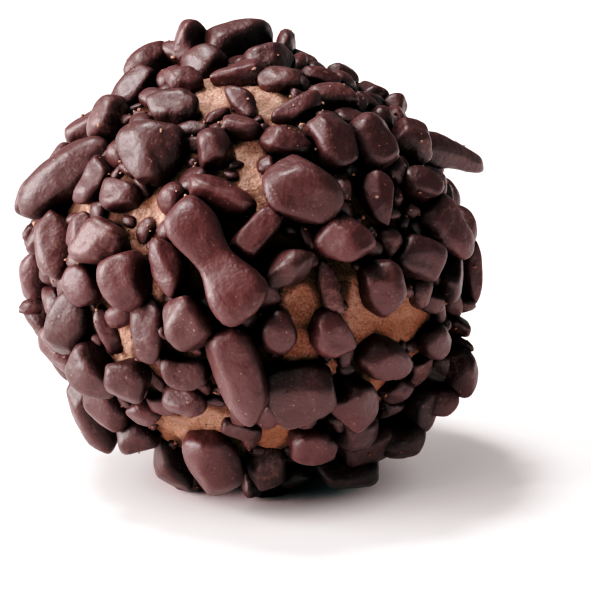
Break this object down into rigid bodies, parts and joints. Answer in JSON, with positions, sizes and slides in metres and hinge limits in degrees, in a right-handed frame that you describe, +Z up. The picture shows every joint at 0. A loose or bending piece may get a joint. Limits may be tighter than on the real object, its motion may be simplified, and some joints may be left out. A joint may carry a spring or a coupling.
{
  "type": "chocolate truffle",
  "caption": "Round chocolate truffle: a soft praline ball coated all over with rounded nuggets of crisp in dark chocolate.",
  "frame": {"origin": "middle of the small flat foot that the truffle stands on", "axes": "+Z up; the front, which the picture shows from a little above, faces -Y; +X is to its right"},
  "size_m": [0.0339, 0.0337, 0.0334],
  "materials": {
    "chocolate": "satin dark chocolate over crisp nuggets, with tan praline showing between them"
  },
  "bodies": {
    "root": {"truffle": "chocolate"}
  },
  "joints": []
}
